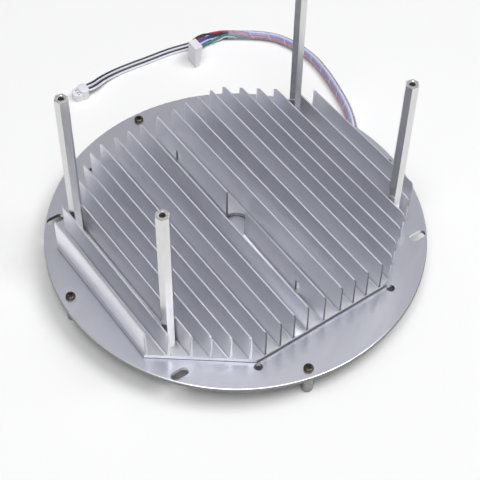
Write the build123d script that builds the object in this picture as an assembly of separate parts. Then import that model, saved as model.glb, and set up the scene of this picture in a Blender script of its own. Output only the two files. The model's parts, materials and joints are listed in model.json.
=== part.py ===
from build123d import *
import math
import os

# Round lamp heat sink: a finned aluminium extrusion screwed to a round base disc.
# Millimetres, +Z up. The floor that the support legs stand on is z = 0, the disc's
# centre is x = y = 0, the fins run along Y and stand side by side along X.

# Driving sizes: base disc
disc_dia = 230.0
disc_thickness = 2.5
disc_top_round = 0.8
disc_bottom_round = 0.3
slot_width = 5.5
slot_length = 11.0
slot_rim_inset = 5.8        # from the rim to the slots' centres
slot_angle = 38.2           # from the X axis
round_hole_dia = 5.0
round_hole_side_gap = 0.9   # from the octagon's corners to the holes' centres
round_hole_front_gap = 2.7

# Driving sizes: finned extrusion
plate_thickness = 3.0
extrusion_height = 23.7
octagon_width_x = 192.6
octagon_width_y = 172.0
octagon_front_edge = 93.2
octagon_side_edge = 94.6
fin_root_thickness = 1.8
fin_tip_thickness = 1.3
fin_root_radius = 0.6
fin_corner_chamfer = 1.0
centre_gap = 11.85          # pitch from the middle fin to its neighbours
inner_pitch = 9.4           # the next two
step_pitch = 10.2           # the one wider pitch
fine_pitch = 8.6            # the next four
post_pitch = 9.95           # the last two, which the posts stand between
centre_bore_dia = 18.6

# Driving sizes: posts, legs and screws
post_flats = 7.0
post_length = 112.0
post_spacing_x = 160.6
post_spacing_y = 98.0
post_turn = -10.0
post_top_bore = 3.3
post_top_bore_depth = 14.0
post_foot_bore_depth = 11.0
post_edge_chamfer = 0.5
leg_dia = 7.0
leg_length = 16.5
leg_bore = 2.5
leg_bore_depth = 8.0
leg_end_round = 0.8
leg_rim_inset = 6.2
leg_angles = (89.8, 173.6, 256.4, 353.6)
rim_screw_grip = 5.0        # how far the rim screws reach into the legs
m3_shank, m3_head_dia, m3_head_height = 3.0, 5.8, 2.2
m4_shank, m4_head_dia, m4_head_height = 4.0, 7.6, 2.9
m4_sink_dia = 7.8
board_head_dia, board_head_height = 6.4, 2.5
head_round_share = 0.55     # how much of a pan head's height its round takes
thread_gap = 0.05           # radial gap between a screw and the thread it sits in
pass_gap = 0.15             # radial gap between a screw and a plain hole
recess_width, recess_depth = 0.9, 1.1
recess_span_share = 0.55    # a cross recess against its head
recess_turn = 20.0
bore_end_gap = 2.0          # free thread beyond a post screw's tip

# Driving sizes: lamp board under the disc
board_dia = 136.0
board_thickness = 1.6
board_screw_inset = 6.5     # from the board's edge
board_screw_count, board_screw_start = 6, 30.0
board_screw_hole = 4.2
board_screw_length = 8.0
plate_screw_circle = 106.0
plate_screw_count, plate_screw_start = 4, 45.0
plate_screw_length = 5.2
fin_drill_height = 12.8     # how far the two middle holes run up into the middle fin
emitter_circle = 80.0
emitter_count = 6           # round the one in the middle
emitter_side, emitter_base_height, emitter_dome_dia = 8.0, 1.1, 6.4
header_length, header_width, header_height = 10.0, 24.0, 6.5
header_round = 0.8
header_face_x = 65.0

# Driving sizes: cable, wires and plugs
bundle_dia = 6.4
wire_dia = 1.6
wire_step = 1.65
lane_step = 1.75
plug_a_size = (18.0, 9.0, 8.0)      # long, wide, high
plug_a_shoulder = 8.0               # its taper starts here
plug_a_nose = (4.5, 3.4)            # wide, high
plug_b_size = (11.0, 8.5, 7.5)
plug_b_lobe = (6.3, 5.6)            # the lower front lobe starts here, and its height
plug_round, plug_top_round = 1.4, 0.6
port_step_a = 2.6
port_low, port_high = 2.6, 5.4      # levels of the two rows of ports in plug A
port_step_b, port_shift_b = 1.9, -0.6
port_level_b = 5.2
window_side, window_depth, window_step = 1.2, 1.4, 2.3

os.makedirs("parts", exist_ok=True)

disc_bottom = leg_length
disc_top = disc_bottom + disc_thickness
plate_top = disc_top + plate_thickness
fin_top = disc_top + extrusion_height
board_bottom = disc_bottom - board_thickness


def write(name, shape):
    """Write one piece as its own STEP file."""
    shape.label = name
    export_step(shape, f"parts/{name}.step")


def at(x, y, z, shape):
    return Pos(x, y, z) * shape


def corners(width, depth):
    """The four corners of a rectangle centred on the disc."""
    return [(sx * width / 2, sy * depth / 2) for sx in (-1, 1) for sy in (-1, 1)]


def ring(diameter, count, start):
    """Evenly spaced places on a circle."""
    step = 360 / count
    return [(diameter / 2 * math.cos(math.radians(start + i * step)),
             diameter / 2 * math.sin(math.radians(start + i * step))) for i in range(count)]


def rod(x, y, z0, z1, diameter):
    """A plain vertical cylinder from z0 to z1."""
    return at(x, y, (z0 + z1) / 2, Cylinder(diameter / 2, z1 - z0))


def one(shape):
    """The single solid of a result."""
    solids = shape.solids()
    assert len(solids) == 1, f"expected one solid, found {len(solids)}"
    return solids[0]


# Places that several pieces share
leg_radius = disc_dia / 2 - leg_rim_inset
leg_places = [(leg_radius * math.cos(math.radians(a)),
               leg_radius * math.sin(math.radians(a))) for a in leg_angles]
post_places = corners(post_spacing_x, post_spacing_y)
slot_radius = disc_dia / 2 - slot_rim_inset
slot_places = corners(2 * slot_radius * math.cos(math.radians(slot_angle)),
                      2 * slot_radius * math.sin(math.radians(slot_angle)))
round_hole_places = corners(octagon_front_edge + 2 * round_hole_side_gap,
                            octagon_width_y + 2 * round_hole_front_gap)
board_screw_places = ring(board_dia - 2 * board_screw_inset, board_screw_count, board_screw_start)
plate_screw_places = ring(plate_screw_circle, plate_screw_count, plate_screw_start)


# Base disc: turned blank, rounded rim, slots and holes
def base_disc():
    disc = rod(0, 0, disc_bottom, disc_top, disc_dia)
    disc = fillet(disc.edges().sort_by(Axis.Z)[-1], disc_top_round)
    disc = fillet(disc.edges().sort_by(Axis.Z)[0], disc_bottom_round)
    deep = disc_thickness + 2
    middle = (disc_bottom + disc_top) / 2
    cuts = [at(x, y, middle - deep / 2,
               extrude(SlotOverall(slot_length, slot_width), deep))
            for x, y in slot_places]
    for x, y in round_hole_places:
        cuts.append(rod(x, y, disc_bottom - 1, disc_top + 1, round_hole_dia))
    for x, y in leg_places:
        cuts.append(rod(x, y, disc_bottom - 1, disc_top + 1, m3_shank + 2 * pass_gap))
    for x, y in post_places:
        cuts.append(rod(x, y, disc_bottom - 1, disc_top + 1, m4_shank + 2 * pass_gap))
    for x, y in board_screw_places:
        cuts.append(rod(x, y, disc_bottom - 1, disc_top + 1, board_screw_hole))
    for x, y in plate_screw_places:
        cuts.append(rod(x, y, disc_bottom - 1, disc_top + 1, m4_shank + 2 * pass_gap))
        cuts.append(sink_cone(x, y, pass_gap))
    return one(disc.cut(*cuts))


def sink_cone(x, y, gap):
    """The cone of a countersunk head whose top is level with the disc's underside."""
    depth = (m4_sink_dia - m4_shank) / 2
    cone = Cone(m4_sink_dia / 2 + gap, m4_shank / 2 + gap, depth)
    return at(x, y, disc_bottom + depth / 2, cone)


# Finned extrusion: one profile, cut to an octagon, then bored and drilled
def fin_centres():
    """Distances of the fins from the middle fin, which stands at x = 0."""
    pitches = [centre_gap] + [inner_pitch] * 2 + [step_pitch] + [fine_pitch] * 4 + [post_pitch] * 2
    side = []
    for pitch in pitches:
        side.append((side[-1] if side else 0) + pitch)
    return [-x for x in reversed(side)] + [0.0] + side


def extrusion_profile():
    """The section across the fins, drawn as one outline in X and Z."""
    half = octagon_width_x / 2
    outline = [(-half, disc_top), (half, disc_top)]
    roots = []
    for x in reversed(fin_centres()):
        root, tip = fin_root_thickness / 2, fin_tip_thickness / 2
        right = min(x + root, half)
        left = max(x - root, -half)
        if right < half:
            roots.append((right, plate_top))
            outline.append((right, plate_top))
        outline += [(x + tip, fin_top), (x - tip, fin_top)]
        if left > -half:
            roots.append((left, plate_top))
            outline.append((left, plate_top))
    face = make_face(Polyline(*outline, close=True))
    sharp = [v for v in face.vertices()
             if abs(v.Y - plate_top) < 1e-6 and abs(v.X) < half - 0.01]
    return fillet(sharp, fin_root_radius)


def octagon():
    """The outline that the extrusion is sawn to, seen from above."""
    x, y = octagon_width_x / 2, octagon_width_y / 2
    cx, cy = octagon_front_edge / 2, octagon_side_edge / 2
    return make_face(Polyline((-x, -cy), (-cx, -y), (cx, -y), (x, -cy),
                              (x, cy), (cx, y), (-cx, y), (-x, cy), close=True))


def fin_extrusion():
    section = Plane.XZ * extrusion_profile()
    bar = extrude(section, octagon_width_y / 2 + 1, both=True)
    block = at(0, 0, disc_top - 1, extrude(octagon(), extrusion_height + 1))
    block = chamfer(block.faces().sort_by(Axis.Z)[-1].edges(), fin_corner_chamfer)
    sink = bar & block
    cuts = [rod(0, 0, disc_top - 1, fin_top + 1, centre_bore_dia)]
    for x, y in board_screw_places:
        in_fin = abs(x) < fin_root_thickness
        top = disc_top + fin_drill_height if in_fin else plate_top + 1
        cuts.append(rod(x, y, disc_top - 1, top, board_screw_hole))
    for x, y in plate_screw_places + post_places:
        cuts.append(rod(x, y, disc_top - 1, plate_top + 1, m4_shank + 2 * thread_gap))
    return one(sink.cut(*cuts))


# Hexagonal post: tapped at both ends
def hex_post(x, y):
    bar = extrude(RegularPolygon(post_flats / 2, 6, major_radius=False), post_length)
    ends = bar.faces().sort_by(Axis.Z)
    bar = chamfer(ends[0].edges() + ends[-1].edges(), post_edge_chamfer)
    bar -= rod(0, 0, post_length - post_top_bore_depth, post_length + 1, post_top_bore)
    bar -= at(0, 0, post_length - 0.25, Cone(post_top_bore / 2, post_top_bore / 2 + 0.5, 0.5))
    bar -= rod(0, 0, -1, post_foot_bore_depth, m4_shank + 2 * thread_gap)
    return at(x, y, plate_top, Rot(0, 0, post_turn) * one(bar))


# Support leg: a round spacer, tapped at both ends
def support_leg(x, y):
    leg = rod(0, 0, 0, leg_length, leg_dia)
    leg = fillet(leg.edges().sort_by(Axis.Z)[0], leg_end_round)
    leg -= rod(0, 0, -1, leg_bore_depth, leg_bore)
    leg -= rod(0, 0, leg_length - leg_bore_depth + 1, leg_length + 1, m3_shank + 2 * thread_gap)
    return at(x, y, 0, one(leg))


# Screws: drawn standing on their heads' seat at z = 0, shank downwards
def pan_screw(shank, head_dia, head_height, length):
    """A pan-head screw with a cross recess."""
    head = at(0, 0, head_height / 2, Cylinder(head_dia / 2, head_height))
    head = fillet(head.edges().sort_by(Axis.Z)[-1], head_height * head_round_share)
    span = head_dia * recess_span_share
    cross = Box(span, recess_width, recess_depth) + Box(recess_width, span, recess_depth)
    head -= at(0, 0, head_height - recess_depth / 2 + 0.01, cross)
    return one(head + rod(0, 0, -length, 0, shank))


def rim_screw(x, y):
    screw = pan_screw(m3_shank, m3_head_dia, m3_head_height, disc_thickness + rim_screw_grip)
    return at(x, y, disc_top, Rot(0, 0, recess_turn) * screw)


def upward(x, y, seat, screw):
    """Turn a screw over, so that its head hangs under the seat."""
    return at(x, y, seat, Rot(180, 0, 0) * screw)


def post_screw(x, y):
    length = disc_thickness + plate_thickness + post_foot_bore_depth - bore_end_gap
    return upward(x, y, disc_bottom,
                  pan_screw(m4_shank, m4_head_dia, m4_head_height, length))


def board_screw(x, y):
    return upward(x, y, board_bottom,
                  pan_screw(m4_shank, board_head_dia, board_head_height, board_screw_length))


def plate_screw(x, y):
    """A countersunk screw that holds the disc to the extrusion."""
    screw = sink_cone(x, y, 0) + rod(x, y, disc_bottom, disc_bottom + plate_screw_length, m4_shank)
    span = m4_sink_dia * recess_span_share
    slot = Box(span, recess_width, recess_depth) + Box(recess_width, span, recess_depth)
    return one(screw - at(x, y, disc_bottom + recess_depth / 2, slot))


# Lamp board: round metal-core board, its emitters and its wire header
def led_board():
    board = rod(0, 0, board_bottom, disc_bottom, board_dia)
    return one(board.cut(*[rod(x, y, board_bottom - 1, disc_bottom + 1, board_screw_hole)
                           for x, y in board_screw_places]))


def led_emitter(x, y):
    base = at(x, y, board_bottom - emitter_base_height / 2,
              Box(emitter_side, emitter_side, emitter_base_height))
    dome = at(x, y, board_bottom - emitter_base_height, Sphere(emitter_dome_dia / 2))
    reach = 2 * emitter_dome_dia
    below = at(x, y, board_bottom - emitter_base_height - reach / 2, Box(reach, reach, reach))
    return one(base + (dome & below))


def wire_header():
    """The moulded header on the board that the cable comes out of."""
    block = at(header_face_x - header_length / 2, 0, board_bottom - header_height / 2,
               Box(header_length, header_width, header_height))
    return one(fillet(block.edges().filter_by(Axis.Z), header_round))


# Cable tubes: straight runs joined by arcs
def corner_radii(points):
    """Each arc as large as its two runs allow."""
    radii = []
    for a, b, c in zip(points, points[1:], points[2:]):
        before, after = Vector(*b) - Vector(*a), Vector(*c) - Vector(*b)
        turn = math.radians(before.get_angle(after))
        radii.append(0.45 * min(before.length, after.length) / math.tan(turn / 2))
    return radii


def tube(name, points, diameter):
    """A round cord along a list of points; prints what its bends come to."""
    radii = corner_radii(points)
    path = FilletPolyline(*points, radius=radii)
    start = Plane(origin=points[0], z_dir=Vector(*points[1]) - Vector(*points[0]))
    solid = one(sweep(start * Circle(diameter / 2), path=path))
    expected = math.pi * diameter ** 2 / 4 * path.length
    print(f"{name}: length {path.length:.1f} mm, volume ratio {solid.volume / expected:.4f}, "
          f"smallest radius {min(radii):.1f} mm, radii {[round(r, 1) for r in radii]}")
    return solid


bundle_rise = bundle_dia / 2
bundle_route = [
    (header_face_x, 0.0, board_bottom - bundle_rise - 0.1), (80.0, 0.0, 11.6),
    (95.5, 4.5, 8.4), (108.5, 15.5, 4.4), (117.5, 30.5, bundle_rise),
    (127.0, 47.5, bundle_rise), (133.0, 66.5, bundle_rise), (137.5, 86.0, bundle_rise),
    (139.5, 104.0, bundle_rise), (136.5, 123.5, bundle_rise), (127.0, 142.5, bundle_rise),
    (110.0, 153.5, bundle_rise),
]
bundle_end = bundle_route[-1]
bundle_heading = math.atan2(bundle_route[-1][1] - bundle_route[-2][1],
                            bundle_route[-1][0] - bundle_route[-2][0])


def from_end(forward, front, height):
    """A place measured from the bundle's end: forward, to its front side, and height."""
    c, s = math.cos(bundle_heading), math.sin(bundle_heading)
    return (bundle_end[0] + forward * c - front * s, bundle_end[1] + forward * s + front * c, height)


# Plug A stands across the cable, plug B in line with it
plug_a_back, plug_a_heading = (77.3, 157.8), math.radians(237)
plug_b_back, plug_b_heading = (-5.2, 165.3), math.radians(174)


def placed(back, heading, x, y, z):
    """A place in a plug's own frame: x ahead of its back face, y to its left."""
    c, s = math.cos(heading), math.sin(heading)
    return (back[0] + x * c - y * s, back[1] + x * s + y * c, z)


low, middle, high = (bundle_rise - wire_step, bundle_rise, bundle_rise + wire_step)
run_out = 5.0
back, centre, front = -wire_step, 0.0, wire_step

# Each lamp wire: where it starts in the bundle, its free points, and its port in plug A
lamp_wires = {
    "wire_red": ((back, high), [(12, -2.8, 6.4), (20.5, -2.6, 7.2), (27.6, 0.4, 6.4)],
                 (-port_step_a, port_high)),
    "wire_black": ((centre, high), [(12, -0.9, 5.6), (19.5, -0.4, 5.9), (24.8, 2.2, 5.7)],
                   (0, port_high)),
    "wire_green": ((front, high), [(11, 1.5, 4.6), (17, 1.9, 4.9), (21.8, 3.2, 5.2)],
                   (port_step_a, port_high)),
    "wire_blue": ((back, middle), [(12, -1.9, 3.1), (20, -1.2, 2.8), (26, 1.8, 2.7)],
                  (-port_step_a / 2, port_low)),
    "wire_white": ((centre, middle), [(11, 0.2, 3.0), (18, 0.9, 2.9), (23.2, 3.0, 2.7)],
                   (port_step_a / 2, port_low)),
}


def lamp_wire_route(start, free, port):
    """Out of the bundle, over its free points and into the back of plug A."""
    across, height = start
    side, level = port
    return [from_end(0, across, height), from_end(run_out, across, height),
            *[from_end(*p) for p in free],
            placed(plug_a_back, plug_a_heading, -run_out, side, level),
            placed(plug_a_back, plug_a_heading, 0, side, level)]


# The four flat-laid wires to plug B follow one centre line, side by side
lane_rest = wire_dia / 2
lane_line = [(87.0, 162.6, lane_rest), (74.5, 165.6, lane_rest), (61.0, 168.4, lane_rest),
             (46.5, 169.4, lane_rest), (32.0, 171.2, lane_rest), (19.0, 171.6, 1.1), (8.0, 169.4, 2.9)]
lane_wires = {
    "lane_wire_1": ((back, low), [(12.5, -2.5, lane_rest)]),
    "lane_wire_2": ((centre, low), [(12.5, -0.8, lane_rest)]),
    "lane_wire_3": ((front, low), [(12.5, 0.95, lane_rest)]),
    "lane_wire_4": ((front, middle), [(9.0, 2.9, 2.5), (14.5, 3.9, lane_rest)]),
}


def lane_wire_route(start, free, lane):
    """Out of the bundle, down to the floor, along its lane and into the back of plug B."""
    across, height = start
    points = [from_end(0, across, height), from_end(run_out, across, height),
              *[from_end(*p) for p in free]]
    steps = [points[-1]] + lane_line + [plug_b_back]
    for before, here, after in zip(steps, lane_line, steps[2:]):
        direction = math.atan2(after[1] - before[1], after[0] - before[0])
        shift = lane * lane_step
        points.append((here[0] - shift * math.sin(direction),
                       here[1] + shift * math.cos(direction), here[2]))
    side = lane * port_step_b + port_shift_b
    return points + [placed(plug_b_back, plug_b_heading, -run_out, side, port_level_b),
                     placed(plug_b_back, plug_b_heading, 0, side, port_level_b)]


def stand(body, back_at, heading):
    """Lay a plug down with its back face at its place."""
    return at(back_at[0], back_at[1], 0, Rot(0, 0, math.degrees(heading)) * one(body))


def plug_a():
    """The five-wire plug: high and wide at the wires, tapered to its nose."""
    long, wide, high = plug_a_size
    nose_wide, nose_high = plug_a_nose
    plan = make_face(Polyline((0, -wide / 2), (plug_a_shoulder, -wide / 2), (long, -nose_wide / 2),
                              (long, nose_wide / 2), (plug_a_shoulder, wide / 2), (0, wide / 2),
                              close=True))
    side = make_face(Polyline((0, 0), (long, 0), (long, nose_high), (plug_a_shoulder, high),
                              (0, high), close=True))
    body = extrude(plan, high) & extrude(Plane.XZ * side, wide, both=True)
    upright = body.edges().filter_by(Axis.Z)
    body = fillet(upright.sort_by(Axis.X)[-2:], plug_round)
    for side in (-window_step / 2, window_step / 2):
        body -= at(long, side, nose_high / 2, Box(2 * window_depth, window_side, window_side))
    return stand(body, plug_a_back, plug_a_heading)


def plug_b():
    """The four-wire plug: a back block and a lower front lobe, with windows at the step."""
    long, wide, high = plug_b_size
    step, lobe_high = plug_b_lobe
    block = at(step / 2, 0, high / 2, Box(step, wide, high))
    block = fillet(block.edges().filter_by(Axis.Z), plug_round)
    block = fillet(block.faces().sort_by(Axis.Z)[-1].edges(), plug_top_round)
    start = step - 2 * plug_round
    lobe = at((start + long) / 2, 0, lobe_high / 2, Box(long - start, wide, lobe_high))
    lobe = fillet(lobe.edges().filter_by(Axis.Z), plug_round)
    body = block + lobe
    for side in (-window_step, 0, window_step):
        body -= at(step + window_side, side, lobe_high, Box(window_side, window_side, 2 * window_depth))
    return stand(body, plug_b_back, plug_b_heading)


def main():
    write("base_disc", base_disc())
    write("fin_extrusion", fin_extrusion())
    for i, (x, y) in enumerate(post_places, 1):
        write(f"hex_post_{i}", hex_post(x, y))
    write("post_screws", Compound(children=[post_screw(x, y) for x, y in post_places]))
    for i, (x, y) in enumerate(leg_places, 1):
        write(f"support_leg_{i}", support_leg(x, y))
    write("rim_screws", Compound(children=[rim_screw(x, y) for x, y in leg_places]))
    write("plate_screws", Compound(children=[plate_screw(x, y) for x, y in plate_screw_places]))
    write("led_board", led_board())
    write("board_screws", Compound(children=[board_screw(x, y) for x, y in board_screw_places]))
    for i, (x, y) in enumerate([(0, 0)] + ring(emitter_circle, emitter_count, 0), 1):
        write(f"led_emitter_{i}", led_emitter(x, y))
    write("wire_header", wire_header())
    write("cable_bundle", tube("cable_bundle", bundle_route, bundle_dia))
    for name, (start, free, port) in lamp_wires.items():
        write(name, tube(name, lamp_wire_route(start, free, port), wire_dia))
    for i, (name, (start, free)) in enumerate(lane_wires.items()):
        write(name, tube(name, lane_wire_route(start, free, i - 1.5), wire_dia))
    write("plug_a", plug_a())
    write("plug_b", plug_b())


main()
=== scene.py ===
import bpy
import bmesh
import json
import math
from mathutils import Matrix, Vector


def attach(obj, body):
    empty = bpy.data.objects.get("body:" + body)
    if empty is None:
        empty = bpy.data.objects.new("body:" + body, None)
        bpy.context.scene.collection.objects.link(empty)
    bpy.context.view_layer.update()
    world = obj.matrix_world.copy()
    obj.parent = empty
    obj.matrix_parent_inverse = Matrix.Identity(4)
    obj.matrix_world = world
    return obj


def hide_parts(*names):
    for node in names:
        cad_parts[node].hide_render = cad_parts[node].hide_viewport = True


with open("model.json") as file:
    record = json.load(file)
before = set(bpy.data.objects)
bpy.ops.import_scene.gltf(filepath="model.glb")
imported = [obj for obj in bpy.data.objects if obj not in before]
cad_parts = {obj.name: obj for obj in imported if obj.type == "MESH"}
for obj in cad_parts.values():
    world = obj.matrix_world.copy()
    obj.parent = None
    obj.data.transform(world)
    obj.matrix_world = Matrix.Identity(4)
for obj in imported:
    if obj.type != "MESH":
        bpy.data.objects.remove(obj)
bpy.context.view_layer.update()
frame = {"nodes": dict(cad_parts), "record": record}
nodes = frame["nodes"]
scene = bpy.context.scene
scene.view_settings.view_transform = "Standard"
print("frame loaded,", len(nodes), "nodes")

# the photograph's camera: place in metres, turn in degrees, lens and sensor in millimetres
cameraSet = {"place": (-0.29014, -0.39949, 0.62009), "turn": (38.8437, -0.6978, -35.4306),
             "lens": 96.788, "sensor": 36}
cameraData = bpy.data.cameras.new("photoCamera")
cameraData.lens = cameraSet["lens"]
cameraData.sensor_width = cameraSet["sensor"]
cameraObject = bpy.data.objects.new("photoCamera", cameraData)
scene.collection.objects.link(cameraObject)
cameraObject.location = cameraSet["place"]
cameraObject.rotation_euler = [math.radians(a) for a in cameraSet["turn"]]
scene.camera = cameraObject
print("camera placed")


# a Flow is one output socket: ordinary signs on it add the Math nodes
class Flow:
    def __init__(self, recipe, socket):
        self.recipe = recipe
        self.socket = socket

    def math(self, operation, first, second=0.0):
        return self.recipe.add("ShaderNodeMath", {"operation": operation}, {0: first, 1: second})

    def __add__(self, other):
        return self.math("ADD", self, other)

    def __sub__(self, other):
        return self.math("SUBTRACT", self, other)

    def __rsub__(self, other):
        return self.math("SUBTRACT", other, self)

    def __mul__(self, other):
        return self.math("MULTIPLY", self, other)

    def __abs__(self):
        return self.math("ABSOLUTE", self)

    def __gt__(self, other):
        return self.math("GREATER_THAN", self, other)

    def __lt__(self, other):
        return self.math("LESS_THAN", self, other)

    __radd__ = __add__
    __rmul__ = __mul__

    def larger(self, other):
        return self.math("MAXIMUM", self, other)

    def wave(self):
        return self.recipe.add("ShaderNodeMath", {"operation": "SINE"}, {0: self})

    def ramp(self, low, high):  # smooth 0 to 1 between two values
        return self.recipe.add("ShaderNodeMapRange", {"interpolation_type": "SMOOTHSTEP", "clamp": True},
                               {"Value": self, "From Min": low, "From Max": high})


# a Recipe is one material, or the node tree that it is given
class Recipe:
    def __init__(self, name, tree=None):
        if tree is None:
            self.material = bpy.data.materials.new(name)
            self.material.use_nodes = True
            tree = self.material.node_tree
        self.tree = tree
        self.tree.nodes.clear()

    def add(self, kind, settings=None, sockets=None, output=0):
        node = self.tree.nodes.new(kind)
        for key, value in (settings or {}).items():
            setattr(node, key, value)
        for key, value in (sockets or {}).items():
            if isinstance(value, Flow):
                self.tree.links.new(value.socket, node.inputs[key])
            else:
                node.inputs[key].default_value = value
        return Flow(self, node.outputs[output]) if len(node.outputs) else node

    def millimetres(self):  # the piece's own place
        place = self.add("ShaderNodeTexCoord", output="Object")
        return self.add("ShaderNodeVectorMath", {"operation": "SCALE"}, {0: place, "Scale": 1000.0})

    def split(self, vector):
        node = self.add("ShaderNodeSeparateXYZ", {}, {0: vector}).socket.node
        return [Flow(self, socket) for socket in node.outputs]

    def vector(self, x, y, z):
        return self.add("ShaderNodeCombineXYZ", {}, {0: x, 1: y, 2: z})

    def stretch(self, vector, factors):
        return self.add("ShaderNodeVectorMath", {"operation": "MULTIPLY"}, {0: vector, 1: factors})

    def turned(self, vector, degrees):
        return self.add("ShaderNodeVectorRotate", {"rotation_type": "Z_AXIS"},
                        {"Vector": vector, "Angle": math.radians(degrees)})

    def noise(self, vector, scale, detail=2.0, rough=0.5):
        return self.add("ShaderNodeTexNoise", {}, {"Vector": vector, "Scale": scale, "Detail": detail,
                                                   "Roughness": rough})

    def streaks(self, vector, factors, detail=2.0, rough=0.5):  # noise drawn out along an axis
        return self.noise(self.stretch(vector, factors), 1.0, detail, rough)

    def distance(self, x, y):
        return self.add("ShaderNodeVectorMath", {"operation": "LENGTH"}, {0: self.vector(x, y, 0.0)}, 1)

    def mix(self, factor, first, second):  # two colours
        return self.add("ShaderNodeMix", {"data_type": "RGBA"}, {0: factor, 6: first, 7: second}, 2)

    def bump(self, height, strength, distance):
        return self.add("ShaderNodeBump", {}, {"Height": height, "Strength": strength, "Distance": distance})

    def facing(self):  # the surface's own direction
        return self.split(self.add("ShaderNodeNewGeometry", output="True Normal"))

    def finish(self, sockets):
        shader = self.add("ShaderNodeBsdfPrincipled", {}, sockets)
        self.add("ShaderNodeOutputMaterial", {}, {"Surface": shader})
        return self.material


def grey(value, cool=0.0):
    return (value * (1 - cool), value * (1 - cool * 0.75), value * (1 + cool), 1)


def tinted(value, red, blue):
    return (value * red, value, value * blue, 1)


# the extrusion: die lines along it, sawn ends and drilled cuts; heights and radii in millimetres
finFinish = {
    "dark": grey(0.80, 0.032), "light": grey(0.93, 0.032), "sawn": grey(0.58, 0.032),
    # painted shade: the cuts' grey on the sawn -Y ends and in the drill cuts, the seam's grey in the gap at
    # the joint on the disc, the plate's grey on the plate and the fins' feet
    "plateShade": grey(0.60, 0.032), "crest": grey(0.54, 0.07), "cut": grey(0.10, 0.02), "seamShadow": grey(0.05),
    "dieLines": (5.0, 0.02, 5.0), "broadLines": (0.35, 0.006, 0.45), "sawLines": (1.2, 1.2, 16.0),
    "patches": 0.035, "seamTop": 19.45, "bandFade": (20.6, 20.8), "plateTop": 22.0,
    "plateFade": (22.4, 25.0), "crestFade": (42.35, 42.6), "boreRadius": 9.45, "drilledAt": 61.5,
    "drilledReach": 2.3, "roughness": 0.38, "lineDepth": 0.000012,
}


def finAluminium():
    f = finFinish
    r = Recipe("finAluminium")
    place = r.millimetres()
    x, y, z = r.split(place)
    facing = r.facing()
    dieLines = r.streaks(place, f["dieLines"], 3.0, 0.6)
    broad = r.streaks(place, f["broadLines"])
    patches = r.noise(place, f["patches"], 3.0, 0.6)
    sawn = abs(facing[1]).ramp(0.25, 0.6)
    sawLines = r.streaks(place, f["sawLines"], 3.0, 0.7)
    lines = dieLines * (1 - sawn) + sawLines * sawn
    tone = broad * 0.55 + patches * 0.35 + lines * 0.25 - 0.08
    colour = r.mix(tone, f["dark"], f["light"])
    colour = r.mix(sawn * 0.8, colour, f["sawn"])
    # painted shade on the plate and the fins' feet, fading out above the plate
    low = 1 - z.ramp(*f["plateFade"])
    colour = r.mix(low * 0.8, colour, f["plateShade"])
    crest = z.ramp(*f["crestFade"])
    colour = r.mix(crest * 0.9, colour, f["crest"])
    # painted shade darkens the saw cut at the fins' -Y ends, but for a band along the plate's edge
    band = z.ramp(*f["bandFade"]) * (z < f["plateTop"])
    cut = (abs(facing[0]) < 0.3) * (facing[1] < -0.7) * (1 - band * 0.9)
    colour = r.mix(cut * 0.9, colour, f["cut"])
    # painted shade darkens the drills' cuts in the middle fin too
    upright = abs(facing[2]) < 0.6
    bored = (r.distance(x, y) < f["boreRadius"]) * upright
    drilled = (r.distance(x, abs(y) - f["drilledAt"]) < f["drilledReach"]) * upright
    drilled = drilled * (abs(facing[0]) < 0.98)
    colour = r.mix(bored.larger(drilled) * 0.75, colour, f["cut"])
    seamShadow = (z < f["seamTop"]) * (abs(facing[2]) < 0.5)  # painted shadow of the gap at the joint on the disc
    colour = r.mix(seamShadow * 0.9, colour, f["seamShadow"])
    # where shade is painted, and on the crest, the metal is made dull
    shadedAndDull = cut.larger(seamShadow).larger(crest)
    rough = f["roughness"] + patches * 0.10 + lines * 0.06 + sawn * 0.12 + shadedAndDull * 0.4
    return r.finish({"Base Color": colour, "Metallic": 1 - shadedAndDull * 0.9, "Roughness": rough,
                     "Normal": r.bump(lines, 0.5, f["lineDepth"])})


# the disc: rolled sheet with smears, two sets of scratches and a rounded rim; radii in millimetres
# rolled lines, smears and scratches each have a turn in degrees and a stretch, scratches also a fade
discFinish = {
    # painted light: the lip's grey is a painted highlight on the rounded rim, the edge's grey painted shade
    # on the sheared side, the grey for the underside painted shade
    "dark": grey(0.64, 0.060), "light": grey(0.76, 0.060), "lipHighlight": grey(0.84, 0.02),
    "edge": tinted(0.16, 1.04, 0.96), "under": grey(0.10, 0.02), "cloud": 0.022,
    "rolled": (24, (0.03, 4.5, 4.5)), "smears": (-35, (0.05, 0.3, 0.3)),
    "scratches": [(51, (0.03, 2.4, 0.1), (0.735, 0.755)), (-68, (0.04, 2.8, 0.1), (0.745, 0.765))],
    "rimLines": (0.02, 0.02, 12.0), "rimFade": (114.4, 114.6), "lipFade": (18.72, 18.97),
    "roughness": 0.22, "lineDepth": 0.000006,
}


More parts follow.
